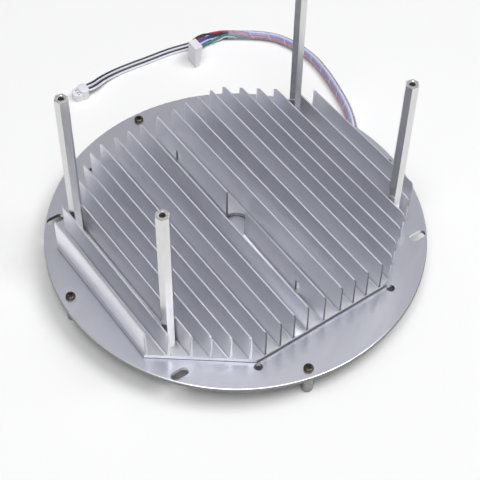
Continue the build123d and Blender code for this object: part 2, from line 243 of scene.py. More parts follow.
def discAluminium():
    f = discFinish
    r = Recipe("discAluminium")
    place = r.millimetres()
    x, y, z = r.split(place)
    facing = r.facing()
    turn, stretch = f["rolled"]
    rolled = r.streaks(r.turned(place, turn), stretch, 3.0, 0.6)
    cloud = r.noise(place, f["cloud"], 3.0, 0.55)
    turn, stretch = f["smears"]
    smears = r.streaks(r.turned(place, turn), stretch, 4.0, 0.6)
    marks = [r.streaks(r.turned(place, way), factors, 1.0).ramp(*fade)
             for way, factors, fade in f["scratches"]]
    rim = r.distance(x, y).ramp(*f["rimFade"])
    lines = rolled * (1 - rim) + r.streaks(place, f["rimLines"]) * rim
    scratches = (marks[0] + marks[1]) * (1 - rim)
    tone = cloud * 0.6 + rolled * 0.25 + smears * 0.25 - 0.05 - scratches * 0.25
    colour = r.mix(tone, f["dark"], f["light"])
    # painted highlight: the rounded rim is given a lighter grey
    colour = r.mix(rim * 0.8, colour, f["lipHighlight"])
    edge = rim * (1 - z.ramp(*f["lipFade"]))  # painted shade on the sheared side below the bright round, which is rougher too
    colour = r.mix(edge * 0.9, colour, f["edge"])
    # painted shade on the disc's underside
    under = facing[2] < -0.5
    colour = r.mix(under * 0.9, colour, f["under"])
    rough = f["roughness"] + smears * 0.10 + cloud * 0.06 - rim * 0.06
    rough = rough + scratches * 0.1 + edge * 0.2 + under * 0.15
    return r.finish({"Base Color": colour, "Metallic": 1 - edge * 0.7, "Roughness": rough,
                     "Normal": r.bump(lines - scratches * 0.6, 0.4, f["lineDepth"])})


# the posts: drawn bar, turned ends, and a thread in the bores; places, radii and pitch in millimetres
postFinish = {
    "dark": tinted(0.62, 1.01, 0.985), "light": tinted(0.78, 1.01, 0.99), "bore": grey(0.45),
    "drawnLines": (6.0, 6.0, 0.03), "cloud": (0.4, 0.4, 0.12), "places": (80.3, 49.0),
    "boreFade": (1.6, 1.75), "threadPitch": 0.7, "roughness": 0.20, "lineDepth": 0.00005,
}


def postPlating():
    f = postFinish
    r = Recipe("postPlating")
    place = r.millimetres()
    x, y, z = r.split(place)
    fromAxis = r.distance(abs(x) - f["places"][0], abs(y) - f["places"][1])
    inside = 1 - fromAxis.ramp(*f["boreFade"])
    thread = (z * (2 * math.pi / f["threadPitch"])).wave()
    drawn = r.streaks(place, f["drawnLines"], 3.0, 0.6)
    cloud = r.streaks(place, f["cloud"], 3.0)
    ends = abs(r.facing()[2]).ramp(0.6, 0.9)
    tone = drawn * 0.35 + cloud * 0.65 - ends * 0.1
    colour = r.mix(tone, f["dark"], f["light"])
    colour = r.mix(inside * 0.25, colour, f["bore"])
    rough = f["roughness"] + cloud * 0.08 + ends * 0.08 + inside * 0.15
    height = drawn * 0.15 * (1 - inside) + thread * inside
    return r.finish({"Base Color": colour, "Metallic": 1.0, "Roughness": rough,
                     "Normal": r.bump(height, 0.6, f["lineDepth"])})


legFinish = {"dark": grey(0.14, 0.01), "light": grey(0.40, 0.01), "latheLines": (0.05, 0.05, 9.0),
             "cloud": 0.4, "roughness": 0.12, "lineDepth": 0.00001}


def legPlating():
    f = legFinish
    r = Recipe("legPlating")
    place = r.millimetres()
    lathe = r.streaks(place, f["latheLines"], 3.0, 0.6)
    cloud = r.noise(place, f["cloud"], 3.0)
    colour = r.mix(lathe * 0.4 + cloud * 0.6, f["dark"], f["light"])
    return r.finish({"Base Color": colour, "Metallic": 1.0, "Roughness": f["roughness"] + cloud * 0.08,
                     "Normal": r.bump(lathe, 0.4, f["lineDepth"])})


def screwFinish(name, dark, light, wear, roughness):
    r = Recipe(name)
    place = r.millimetres()
    grain = r.noise(place, 3.0, 4.0, 0.6)
    stain = r.noise(place, 0.7, 3.0)
    worn = r.noise(place, 1.6, 3.0, 0.7).ramp(0.60, 0.68)
    colour = r.mix(stain * 0.7 + grain * 0.3, dark, light)
    colour = r.mix(worn * 0.7, colour, wear)
    return r.finish({"Base Color": colour, "Metallic": 1.0, "Roughness": roughness + grain * 0.2 - worn * 0.1,
                     "Normal": r.bump(grain, 0.35, 0.00002)})


print("metal finishes ready")

# the board: raised tracks under the white mask, bare metal at its cut edge; radii in millimetres
boardSet = {
    "dark": (0.70, 0.715, 0.70, 1), "light": (0.80, 0.81, 0.79, 1), "track": (0.86, 0.85, 0.77, 1),
    "bare": grey(0.62), "ring": 40.0, "ringFade": (1.3, 1.42), "outer": 66.0, "outerFade": (0.25, 0.35),
    "spokeFade": (1.0, 1.12), "spokeReach": 60.0, "cutEdge": (67.85, 67.95), "lineDepth": 0.00004,
}


def boardMask():
    f = boardSet
    r = Recipe("boardMask")
    place = r.millimetres()
    x, y, z = r.split(place)
    radius = r.distance(x, y)
    ring = 1 - abs(radius - f["ring"]).ramp(*f["ringFade"])
    outer = 1 - abs(radius - f["outer"]).ramp(*f["outerFade"])
    spoke = (1 - abs(y).ramp(*f["spokeFade"])) * (radius < f["spokeReach"]) * (x > 0.0)
    tracks = (ring + outer * 0.8).larger(spoke)
    edge = radius.ramp(*f["cutEdge"])
    grain = r.noise(place, 1.4, 4.0, 0.6)
    dust = r.noise(place, 0.05, 4.0, 0.6)
    mask = r.mix(dust * 0.6 + grain * 0.2, f["dark"], f["light"])
    mask = r.mix(tracks * 0.35, mask, f["track"])
    return r.finish({"Base Color": r.mix(edge, mask, f["bare"]), "Metallic": edge,
                     "Roughness": 0.42 + grain * 0.12 - tracks * 0.05,
                     "Normal": r.bump(tracks + grain * 0.12, 0.5, f["lineDepth"])})


def nylon(name, dark, light):
    r = Recipe(name)
    place = r.millimetres()
    flow = r.streaks(place, (0.5, 0.15, 0.5), 3.0)
    grain = r.noise(place, 5.0, 3.0, 0.6)
    colour = r.mix(flow * 0.8 + grain * 0.2, dark, light)
    return r.finish({"Base Color": colour, "Roughness": 0.38 + grain * 0.14, "Subsurface Weight": 0.18,
                     "Subsurface Radius": (1.0, 0.9, 0.8), "Subsurface Scale": 0.0012, "IOR": 1.5,
                     "Normal": r.bump(grain * 0.5 + flow, 0.3, 0.00002)})


def wireSkin(name, dark, light):
    r = Recipe(name)
    place = r.millimetres()
    pulls = r.noise(place, 1.5, 3.0, 0.6)
    dirt = r.noise(place, 0.25, 4.0, 0.6)
    colour = r.mix(dirt * 0.7 + pulls * 0.3, dark, light)
    return r.finish({"Base Color": colour, "Roughness": 0.30 + pulls * 0.15, "Coat Weight": 0.25,
                     "Coat Roughness": 0.2, "Normal": r.bump(pulls, 0.35, 0.00003)})


def spiralFilm():
    r = Recipe("spiralFilm")
    band = r.split(r.add("ShaderNodeUVMap", {"uv_map": "bandMap"}))
    place = r.millimetres()
    haze = r.noise(place, 0.35, 3.0)
    edge = (abs(band[1] - 0.5) * 2.0).ramp(0.955, 0.99)  # milky where the band was cut
    return r.finish({"Base Color": r.mix(haze, (0.80, 0.77, 0.95, 1), (0.92, 0.89, 1.0, 1)),
                     "Roughness": 0.14 + haze * 0.10, "IOR": 1.45,
                     "Alpha": 0.15 + haze * 0.06 + edge * 0.50,
                     "Normal": r.bump(haze, 0.25, 0.0001)})


def emitterClear():
    r = Recipe("emitterClear")
    place = r.millimetres()
    ripple = r.noise(place, 0.8, 2.0)
    return r.finish({"Base Color": (0.97, 0.97, 0.94, 1), "Roughness": 0.04 + ripple * 0.04, "IOR": 1.41,
                     "Transmission Weight": 1.0, "Normal": r.bump(ripple, 0.1, 0.00003)})


def phosphor():
    r = Recipe("phosphorLayer")
    place = r.millimetres()
    grain = r.noise(place, 6.0, 3.0, 0.6)
    return r.finish({"Base Color": r.mix(grain, (0.80, 0.58, 0.08, 1), (0.88, 0.70, 0.16, 1)),
                     "Roughness": 0.6 + grain * 0.2, "Normal": r.bump(grain, 0.4, 0.00003)})


# one finish for each slot; the metals of screws and contacts have a dark, a light and a worn tone
materials = {
    "disc_aluminium": discAluminium(),
    "fin_aluminium": finAluminium(),
    "post_metal": postPlating(),
    "leg_metal": legPlating(),
    "dark_screw": screwFinish("blackZinc", (0.035, 0.030, 0.028, 1), (0.12, 0.10, 0.085, 1),
                              (0.42, 0.38, 0.34, 1), 0.32),
    "zinc_screw": screwFinish("brightZinc", (0.42, 0.43, 0.46, 1), (0.66, 0.67, 0.68, 1),
                              (0.80, 0.79, 0.74, 1), 0.26),
    "board_white": boardMask(),
    "emitter": emitterClear(),
    "white_plastic": nylon("naturalNylon", (0.74, 0.73, 0.78, 1), (0.84, 0.83, 0.86, 1)),
    "cable_wrap": spiralFilm(),
    "wire_red": wireSkin("redVinyl", (0.42, 0.020, 0.05, 1), (0.60, 0.035, 0.075, 1)),
    "wire_black": wireSkin("blackVinyl", (0.006, 0.008, 0.020, 1), (0.016, 0.019, 0.045, 1)),
    "wire_green": wireSkin("greenVinyl", (0.004, 0.115, 0.115, 1), (0.01, 0.19, 0.18, 1)),
    "wire_blue": wireSkin("blueVinyl", (0.035, 0.060, 0.40, 1), (0.06, 0.10, 0.58, 1)),
    "wire_white": wireSkin("whiteVinyl", (0.62, 0.62, 0.70, 1), (0.78, 0.78, 0.84, 1)),
}
phosphorLayer = phosphor()
solderMetal = screwFinish("solder", (0.55, 0.56, 0.57, 1), (0.74, 0.75, 0.76, 1),
                          (0.86, 0.86, 0.86, 1), 0.22)
contactMetal = screwFinish("tinContact", (0.52, 0.50, 0.44, 1), (0.70, 0.68, 0.62, 1),
                           (0.80, 0.78, 0.72, 1), 0.25)
print("all finishes ready")


# helpers for selecting, modifiers and keeping a piece
def clear():
    for piece in list(bpy.context.selected_objects):
        piece.select_set(False)


def choose(piece):
    clear()
    piece.select_set(True)
    bpy.context.view_layer.objects.active = piece


def applyModifiers(piece):
    choose(piece)
    for modifier in list(piece.modifiers):
        bpy.ops.object.modifier_apply(modifier=modifier.name)
    piece.select_set(False)


def smoothBy(piece, degrees):
    choose(piece)
    bpy.ops.object.shade_smooth_by_angle(angle=math.radians(degrees))
    piece.select_set(False)


def keep(piece, slot, material=None):
    piece.data.materials.clear()
    piece.data.materials.append(material or materials[slot])
    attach(piece, "root")


# cables: each one a smooth line with the route's points
def routeCurve(name, points, radius=0.0):
    data = bpy.data.curves.new(name, "CURVE")
    data.dimensions = "3D"
    line = data.splines.new("NURBS")
    line.points.add(len(points) - 1)
    for point, place in zip(line.points, points):
        point.co = (*place, 1)
    line.order_u = 3
    line.use_endpoint_u = True
    line.resolution_u = 14
    data.bevel_depth = radius
    data.bevel_resolution = 5
    data.use_fill_caps = radius > 0
    piece = bpy.data.objects.new(name, data)
    scene.collection.objects.link(piece)
    return piece


def lineOf(piece):
    mesh = bpy.data.meshes.new_from_object(piece)
    points = [v.co.copy() for v in mesh.vertices]
    bpy.data.meshes.remove(mesh)
    return points


def evenly(points, step):  # the same line with even steps, and its length
    far = [0.0]
    for a, b in zip(points, points[1:]):
        far.append(far[-1] + (b - a).length)
    count = max(2, round(far[-1] / step))
    out, i = [], 0
    for k in range(count + 1):
        want = far[-1] * k / count
        while i < len(far) - 2 and far[i + 1] < want:
            i += 1
        share = (want - far[i]) / max(far[i + 1] - far[i], 1e-9)
        out.append(points[i].lerp(points[i + 1], min(max(share, 0), 1)))
    return out, far[-1]


def framesAlong(points):  # each point's front side and top side
    made = []
    for i in range(len(points)):
        ahead = (points[min(i + 1, len(points) - 1)] - points[max(i - 1, 0)]).normalized()
        front = Vector((0, 0, 1)).cross(ahead).normalized()
        made.append((front, ahead.cross(front)))
    return made


def aside(place, sides, radius, angle):  # a point beside the line, the angle in radians
    front, top = sides
    return place + radius * (math.cos(angle) * front + math.sin(angle) * top)


def smooth(value):
    value = min(max(value, 0.0), 1.0)
    return value * value * (3 - 2 * value)


def meshPiece(name, corners, faces):
    mesh = bpy.data.meshes.new(name)
    mesh.from_pydata(corners, [], faces)
    mesh.polygons.foreach_set("use_smooth", [True] * len(faces))
    piece = bpy.data.objects.new(name, mesh)
    scene.collection.objects.link(piece)
    return piece


# the wrapped cable, in metres and degrees; behind its end the strands turn and spread to a ring
cableSet = {
    "route": [
        (0.0650, 0.0000, 0.0116), (0.0800, 0.0000, 0.0116), (0.0955, 0.0045, 0.0084),
        (0.1085, 0.0155, 0.0044), (0.1175, 0.0305, 0.0032), (0.1270, 0.0475, 0.0032),
        (0.1330, 0.0665, 0.0032), (0.1375, 0.0860, 0.0032), (0.1395, 0.1040, 0.0032),
        (0.1365, 0.1235, 0.0032), (0.1270, 0.1425, 0.0032), (0.1047, 0.1570, 0.0032)],
    "length": 0.2100, "width": 0.0062, "step": 0.0016,
    "strandRadius": 0.00082, "strandSides": 10, "ring": 0.00206, "spread": 0.018,
    "twist": 128, "twistOver": 0.018,
    "wrapRadius": 0.00302, "wrapStep": 0.0128, "wrapBand": 0.0128, "wrapBulge": 0.00008, "wrapWall": 0.00014,
    "wrapColumns": 8, "wrapRows": 36,
}
# each strand: angle and ring at the wrap's end, angle further in, colour
strandSet = [
    (135, 0.00233, 135, "wire_red"), (90, 0.00165, 90, "wire_black"), (45, 0.00233, 45, "wire_green"),
    (180, 0.00165, 180, "wire_blue"), (0, 0.0, 0, "wire_white"), (225, 0.00233, 270, "wire_black"),
    (270, 0.00165, 225, "wire_white"), (315, 0.00233, 315, "wire_black"), (0, 0.00165, 0, "wire_white"),
]


def bundledWires(points, frames, length):
    c = cableSet
    corners, faces, colours, used = [], [], [], []
    sides = c["strandSides"]
    for endAngle, endRing, deepAngle, colour in strandSet:
        if colour not in used:
            used.append(colour)
        start = len(corners)
        for i, point in enumerate(points):
            back = length * (1 - i / (len(points) - 1))  # distance from the wrap's end
            deep = smooth(back / c["spread"])
            ring = 0.0 if endRing == 0 else endRing * (1 - deep) + c["ring"] * deep
            turn = c["twist"] * smooth(back / c["twistOver"])
            angle = math.radians(endAngle * (1 - deep) + deepAngle * deep - turn)
            middle = aside(point, frames[i], ring, angle)
            corners += [aside(middle, frames[i], c["strandRadius"], 2 * math.pi * s / sides)
                        for s in range(sides)]
        for i in range(len(points) - 1):
            for s in range(sides):
                a, b = start + i * sides + s, start + i * sides + (s + 1) % sides
                faces.append((a, b, b + sides, a + sides))
        last = start + (len(points) - 1) * sides
        faces.append(tuple(start + s for s in reversed(range(sides))))
        faces.append(tuple(last + s for s in range(sides)))
        colours += [used.index(colour)] * (len(faces) - len(colours))
    piece = meshPiece("bundledWires", corners, faces)
    for colour in used:
        piece.data.materials.append(materials[colour])
    piece.data.polygons.foreach_set("material_index", colours)
    return piece


def spiralWrap(points, frames, length):
    c = cableSet
    corners, faces, marks = [], [], []
    columns, rowsPerTurn = c["wrapColumns"], c["wrapRows"]
    rows = int((length + c["wrapBand"]) / c["wrapStep"] * rowsPerTurn)
    for i in range(rows + 1):
        angle = 2 * math.pi * i / rowsPerTurn
        for j in range(columns + 1):
            across = j / columns
            far = c["wrapStep"] * i / rowsPerTurn + c["wrapBand"] * (across - 1)
            k = min(max(far, 0.0), length) / length * (len(points) - 1)
            a = min(int(k), len(points) - 2)
            point = points[a].lerp(points[a + 1], k - a)
            sides = [first.lerp(second, k - a).normalized()
                     for first, second in zip(frames[a], frames[a + 1])]
            radius = c["wrapRadius"] + c["wrapBulge"] * math.sin(math.pi * across)
            corners.append(aside(point, sides, radius, angle))
            marks.append((i / rowsPerTurn, across))
    for i in range(rows):
        for j in range(columns):
            a = i * (columns + 1) + j
            faces.append((a, a + 1, a + columns + 2, a + columns + 1))
    piece = meshPiece("spiralWrap", corners, faces)
    mesh = piece.data
    bandMap = mesh.uv_layers.new(name="bandMap")
    for loop in mesh.loops:
        bandMap.data[loop.index].uv = marks[loop.vertex_index]
    work = bmesh.new()
    work.from_mesh(mesh)
    bmesh.ops.dissolve_degenerate(work, dist=1e-6, edges=work.edges)
    bmesh.ops.recalc_face_normals(work, faces=work.faces)
    work.to_mesh(mesh)
    work.free()
    wall = piece.modifiers.new("wall", "SOLIDIFY")
    wall.thickness = c["wrapWall"]
    wall.offset = 0
    applyModifiers(piece)
    return piece


guide = routeCurve("cableGuide", cableSet["route"])
cablePoints, cableLength = evenly(lineOf(guide), cableSet["step"])
bpy.data.objects.remove(guide)
cableFrames = framesAlong(cablePoints)
bundle = bundledWires(cablePoints, cableFrames, cableLength)
wrap = spiralWrap(cablePoints, cableFrames, cableLength)
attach(bundle, "root")
keep(wrap, "cable_wrap")
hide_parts("cable_bundle")
print("wrapped cable made,", round(cableLength * 1000, 1), "mm")

# each loose wire: its slot, its length, and its route from the wrap's end to a plug, in metres
wireSet = {"radius": 0.0008, "wires": {
    "wire_red": ("wire_red", 0.0377, [
        (0.1056, 0.1584, 0.0048), (0.1015, 0.1611, 0.0048), (0.0986, 0.1607, 0.0059),
        (0.0931, 0.1617, 0.0070), (0.0863, 0.1606, 0.0090), (0.0723, 0.1565, 0.0108),
        (0.0722, 0.1541, 0.0108)]),
    "wire_black": ("wire_black", 0.0371, [
        (0.1047, 0.1570, 0.0048), (0.1014, 0.1592, 0.0048), (0.0955, 0.1582, 0.0070),
        (0.0895, 0.1596, 0.0096), (0.0828, 0.1596, 0.0120), (0.0723, 0.1564, 0.0132),
        (0.0722, 0.1541, 0.0132)]),
    "wire_green": ("wire_green", 0.0358, [
        (0.1038, 0.1556, 0.0048), (0.1014, 0.1573, 0.0048), (0.0959, 0.1571, 0.0041),
        (0.0920, 0.1578, 0.0032), (0.0864, 0.1585, 0.0028), (0.0710, 0.1565, 0.0036),
        (0.0709, 0.1541, 0.0036)]),
    "wire_blue": ("wire_blue", 0.0375, [
        (0.1056, 0.1584, 0.0032), (0.1015, 0.1611, 0.0032), (0.0970, 0.1602, 0.0045),
        (0.0909, 0.1607, 0.0052), (0.0841, 0.1591, 0.0072), (0.0720, 0.1565, 0.0084),
        (0.0719, 0.1541, 0.0084)]),
    "wire_white": ("wire_white", 0.0367, [
        (0.1047, 0.1570, 0.0032), (0.1014, 0.1592, 0.0032), (0.0956, 0.1593, 0.0028),
        (0.0897, 0.1603, 0.0038), (0.0842, 0.1590, 0.0052), (0.0715, 0.1565, 0.0060),
        (0.0714, 0.1541, 0.0060)]),
    "lane_wire_1": ("wire_black", 0.1152, [
        (0.1056, 0.1584, 0.0016), (0.1015, 0.1611, 0.0016), (0.0987, 0.1642, 0.0008),
        (0.0904, 0.1657, 0.0008), (0.0822, 0.1666, 0.0008), (0.0737, 0.1684, 0.0008),
        (0.0613, 0.1710, 0.0008), (0.0468, 0.1720, 0.0008), (0.0322, 0.1738, 0.0008),
        (0.0188, 0.1742, 0.0011), (0.0073, 0.1719, 0.0029), (0.0000, 0.1682, 0.0052),
        (-0.0048, 0.1687, 0.0052)]),
    "lane_wire_2": ("wire_white", 0.1143, [
        (0.1047, 0.1570, 0.0016), (0.1014, 0.1592, 0.0016), (0.0976, 0.1625, 0.0008),
        (0.0905, 0.1640, 0.0008), (0.0819, 0.1650, 0.0008), (0.0734, 0.1667, 0.0008),
        (0.0611, 0.1693, 0.0008), (0.0466, 0.1703, 0.0008), (0.0321, 0.1721, 0.0008),
        (0.0189, 0.1725, 0.0011), (0.0078, 0.1702, 0.0029), (-0.0002, 0.1663, 0.0052),
        (-0.0050, 0.1668, 0.0052)]),
    "lane_wire_3": ("wire_black", 0.1134, [
        (0.1039, 0.1556, 0.0016), (0.1014, 0.1573, 0.0016), (0.0966, 0.1610, 0.0008),
        (0.0902, 0.1622, 0.0008), (0.0817, 0.1632, 0.0008), (0.0730, 0.1650, 0.0008),
        (0.0609, 0.1675, 0.0008), (0.0464, 0.1685, 0.0008), (0.0319, 0.1703, 0.0008),
        (0.0191, 0.1707, 0.0011), (0.0082, 0.1686, 0.0029), (-0.0004, 0.1644, 0.0052),
        (-0.0052, 0.1650, 0.0052)]),
    "lane_wire_4": ("wire_white", 0.1132, [
        (0.1038, 0.1556, 0.0032), (0.1014, 0.1573, 0.0032), (0.0972, 0.1571, 0.0024),
        (0.0927, 0.1594, 0.0008), (0.0894, 0.1607, 0.0008), (0.0814, 0.1615, 0.0008),
        (0.0727, 0.1633, 0.0008), (0.0607, 0.1659, 0.0008), (0.0462, 0.1668, 0.0008),
        (0.0318, 0.1686, 0.0008), (0.0192, 0.1690, 0.0011), (0.0087, 0.1669, 0.0029),
        (-0.0006, 0.1625, 0.0052), (-0.0054, 0.1631, 0.0052)]),
}}
for name, (slot, length, route) in wireSet["wires"].items():
    wire = routeCurve(name + "_line", route, wireSet["radius"])
    keep(wire, slot)
    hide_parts(name)
print("separate wires made")


# modelling by hand: small helpers round the edit-mode tools
def box(name, low, high):
    clear()
    middle = [(a + b) / 2 for a, b in zip(low, high)]
    bpy.ops.mesh.primitive_cube_add(size=1, location=middle)
    piece = bpy.context.active_object
    piece.name = name
    piece.scale = [b - a for a, b in zip(low, high)]
    bpy.ops.object.transform_apply(location=True, rotation=True, scale=True)
    return piece


def spanned(spans, y):  # a box's two corners from its x span, its half width at y, and its z span
    (lowX, highX), half, (lowZ, highZ) = spans
    return (lowX, y - half, lowZ), (highX, y + half, highZ)


def edit(piece, kind="FACE"):
    choose(piece)
    bpy.ops.object.mode_set(mode="EDIT")
    bpy.ops.mesh.select_mode(type=kind)
    bpy.ops.mesh.select_all(action="DESELECT")


def pick(piece, test, kind="FACE"):  # selects the faces or edges that the test allows
    bpy.ops.mesh.select_all(action="DESELECT")
    work = bmesh.from_edit_mesh(piece.data)
    for item in (work.faces if kind == "FACE" else work.edges):
        if kind == "FACE":
            chosen = test(item.calc_center_median(), item.normal)
        else:
            a, b = item.verts[0].co, item.verts[1].co
            chosen = test((a + b) / 2, (b - a).normalized())
        item.select_set(chosen)
    work.select_flush_mode()
    bmesh.update_edit_mesh(piece.data)


def pickFacing(piece, axis, sign):
    pick(piece, lambda place, facing: facing["xyz".index(axis)] * sign > 0.9)


def roundUprights(piece, width, segments):  # the upright edges; the piece stays in edit mode
    edit(piece, "EDGE")
    pick(piece, lambda place, along: abs(along.z) > 0.9, "EDGE")
    bpy.ops.mesh.bevel(offset=width, segments=segments, affect="EDGES")
    bpy.ops.mesh.select_mode(type="FACE")


def sinkPanel(margin, depth, slope=0.0002):  # in the picked faces
    bpy.ops.mesh.inset(thickness=margin)
    bpy.ops.mesh.inset(thickness=slope, depth=-depth)


def crown(margin, rise):  # slopes the picked faces up, or down
    bpy.ops.mesh.inset(thickness=margin)
    bpy.ops.transform.translate(value=(0, 0, rise))


def done():
    bpy.ops.object.mode_set(mode="OBJECT")
    clear()


def combine(piece, other, operation):  # and drops the other piece
    step = piece.modifiers.new("combine", "BOOLEAN")
    step.operation = operation
    step.solver = "EXACT"
    step.object = other
    applyModifiers(piece)
    bpy.data.objects.remove(other)


def carve(piece, cutters):
    for low, high in cutters:
        combine(piece, box("cutter", low, high), "DIFFERENCE")


def soften(piece, width, segments=2, angle=35):
    edge = piece.modifiers.new("edge", "BEVEL")
    edge.width = width
    edge.segments = segments
    edge.limit_method = "ANGLE"
    edge.angle_limit = math.radians(angle)
    applyModifiers(piece)
    smoothBy(piece, 40)


def joined(name, pieces):
    clear()
    for piece in pieces:
        piece.select_set(True)
    bpy.context.view_layer.objects.active = pieces[0]
    bpy.ops.object.join()
    pieces[0].name = name
    clear()
    return pieces[0]


def settle(piece, back, heading):  # from a plug's own frame to where it lies
    piece.data.transform(Matrix.Translation((*back, 0)) @ Matrix.Rotation(math.radians(heading), 4, "Z"))


# plug A stands on its narrow side and thins towards its foot; each panel has a margin and a depth
plugASet = {
    "back": (0.0722, 0.1541), "heading": 268, "long": 0.0094, "wide": 0.0058, "high": 0.0172,
    "foot": 0.0026, "shoulder": 0.0146, "round": 0.0010,
    "sidePanel": (0.0016, 0.00018), "topPanel": (0.0015, 0.00022),
}


def plugA():
    s = plugASet
    half = s["wide"] / 2
    body = box("plugA", (0, -half, 0), (s["long"], half, s["high"]))
    edit(body)
    bpy.ops.mesh.select_all(action="SELECT")
    bpy.ops.mesh.bisect(plane_co=(0, 0, s["shoulder"]), plane_no=(0, 0, 1))
    bpy.ops.mesh.select_mode(type="EDGE")
    pick(body, lambda place, along: place.z < 1e-5 and place.y > half - 1e-5 and abs(along.x) > 0.9, "EDGE")
    bpy.ops.transform.translate(value=(0, s["foot"] - s["wide"], 0))
    bpy.ops.mesh.select_mode(type="FACE")
    pickFacing(body, "y", -1)
    sinkPanel(*s["sidePanel"])
    pickFacing(body, "z", 1)
    sinkPanel(*s["topPanel"])
    done()
    soften(body, s["round"], 5, 25)
    settle(body, s["back"], s["heading"])
    keep(body, "white_plastic")
    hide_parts("plug_a")
    return [body]


# plug B: a back block and a lower front lobe, with three windows and a dark contact in each
plugBSet = {
    "back": (-0.0052, 0.1654), "heading": 174, "half": 0.00425, "crown": (0.0005, 0.00025), "edge": 0.0007,
    "blockSpan": (0.0, 0.0063), "blockHigh": 0.0075, "blockRound": 0.0024,
    "frontSpan": (0.0035, 0.011), "frontHigh": 0.0056, "frontRound": 0.0034,
    "places": (-0.0019, 0.0006, 0.0031), "window": ((0.0072, 0.0083), 0.00055, (0.0040, 0.0070)),
    "contact": ((0.0073, 0.0082), 0.00045, (0.0036, 0.0047)), "contactEdge": 0.0001,
}


def lobe(name, part):
    s = plugBSet
    piece = box(name, *spanned((s[part + "Span"], s["half"], (0, s[part + "High"] - s["crown"][1])), 0))
    roundUprights(piece, s[part + "Round"], 5)
    pickFacing(piece, "z", 1)
    crown(*s["crown"])
    done()
    return piece


def plugB():
    s = plugBSet
    block = lobe("plugB", "block")
    combine(block, lobe("plugBFront", "front"), "UNION")
    soften(block, s["edge"], 4, 30)
    carve(block, [spanned(s["window"], y) for y in s["places"]])
    contacts = [box("contact", *spanned(s["contact"], y)) for y in s["places"]]
    for contact in contacts:
        soften(contact, s["contactEdge"], 1)
    tin = joined("plugBContacts", contacts)
    for piece in (block, tin):
        settle(piece, s["back"], s["heading"])
    keep(block, "white_plastic")
    keep(tin, "dark_screw")
    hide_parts("plug_b")
    return [block, tin]


plugAPieces = plugA()
plugBPieces = plugB()
print("plugs made")

# the wire header under the board, with its row of windows and a pin in each
headerSet = {
    "low": (0.055, -0.012, 0.0084), "high": (0.065, 0.012, 0.0149), "corner": 0.0008, "edge": 0.00025,
    "panel": (0.0011, 0.0006), "pins": 9, "pinStep": 0.0025, "pinEdge": 0.0001,
    "window": ((0.0585, 0.0600), 0.0007, (0.0080, 0.0100)),
    "pin": ((0.0590, 0.0596), 0.0003, (0.0087, 0.0100)),
}


def wireHeader():
    s = headerSet
    body = box("wireHeader", s["low"], s["high"])
    roundUprights(body, s["corner"], 3)
    pickFacing(body, "x", -1)
    sinkPanel(*s["panel"])
    done()
    places = [(i - (s["pins"] - 1) / 2) * s["pinStep"] for i in range(s["pins"])]
    carve(body, [spanned(s["window"], y) for y in places])
    soften(body, s["edge"], 2, 30)
    pins = [box("pin", *spanned(s["pin"], y)) for y in places]
    for pin in pins:
        soften(pin, s["pinEdge"], 1)
    tin = joined("headerPins", pins)
    keep(body, "white_plastic")
    keep(tin, "zinc_screw", contactMetal)
    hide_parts("wire_header")


wireHeader()
print("wire header made")

# emitters under the board: a moulded base, a phosphor square, a clear dome, and two leads in solder
emitterSet = {
    "circle": 0.040, "count": 6, "boardLow": 0.0149, "baseHigh": 0.0011, "half": 0.004, "corner": 0.0009,
    "panel": (0.0005, 0.00025), "edge": 0.00012, "dieHalf": 0.0016, "dieSpan": (-0.0001, 0.0004),
    "dieCrown": (0.0003, -0.0002), "dome": 0.0032, "domeCut": 0.0001,
    "blobAt": 0.0053, "blobRadius": 0.0011, "blobHigh": 0.0003, "blobCrown": (0.0004, -0.00022),
    "leadAt": 0.0046, "leadHalf": (0.0007, 0.0009), "leadSpan": (-0.00045, -0.00025), "leadEdge": 0.00008,
}


def emitterBase(name, low, top):
    s = emitterSet
    base = box(name, (-s["half"], -s["half"], low), (s["half"], s["half"], top))
    roundUprights(base, s["corner"], 1)
    pickFacing(base, "z", -1)
    sinkPanel(*s["panel"])
    done()
    soften(base, s["edge"], 2, 30)
    return base


def emitterDie(name, low):
    s = emitterSet
    half, (deep, high) = s["dieHalf"], s["dieSpan"]
    die = box(name, (-half, -half, low + deep), (half, half, low + high))
    edit(die)
    pickFacing(die, "z", -1)
    crown(*s["dieCrown"])
    done()
    return die


def emitterDome(name, low):
    s = emitterSet
    clear()
    bpy.ops.mesh.primitive_uv_sphere_add(segments=40, ring_count=20, radius=s["dome"], location=(0, 0, 0))
    dome = bpy.context.active_object
    dome.name = name
    edit(dome)
    bpy.ops.mesh.select_all(action="SELECT")
    bpy.ops.mesh.bisect(plane_co=(0, 0, -s["domeCut"]), plane_no=(0, 0, 1), clear_outer=True, use_fill=True)
    done()
    dome.data.transform(Matrix.Translation((0, 0, low + s["domeCut"])))
    smoothBy(dome, 50)
    return dome


def emitterSolder(name, top):
    s = emitterSet
    (wide, long), (deep, high) = s["leadHalf"], s["leadSpan"]
    blobs = []
    for side in (-1, 1):
        clear()
        bpy.ops.mesh.primitive_cylinder_add(vertices=24, radius=s["blobRadius"], depth=s["blobHigh"],
                                            location=(0, side * s["blobAt"], top - s["blobHigh"] / 2))
        blob = bpy.context.active_object
        bpy.ops.object.transform_apply(location=True, rotation=False, scale=False)
        edit(blob)
        pickFacing(blob, "z", -1)
        crown(*s["blobCrown"])
        done()
        soften(blob, s["edge"], 2, 20)
        at = side * s["leadAt"]
        lead = box("lead", (-wide, at - long, top + deep), (wide, at + long, top + high))
        soften(lead, s["leadEdge"], 1)
        blobs += [blob, lead]
    return joined(name, blobs)


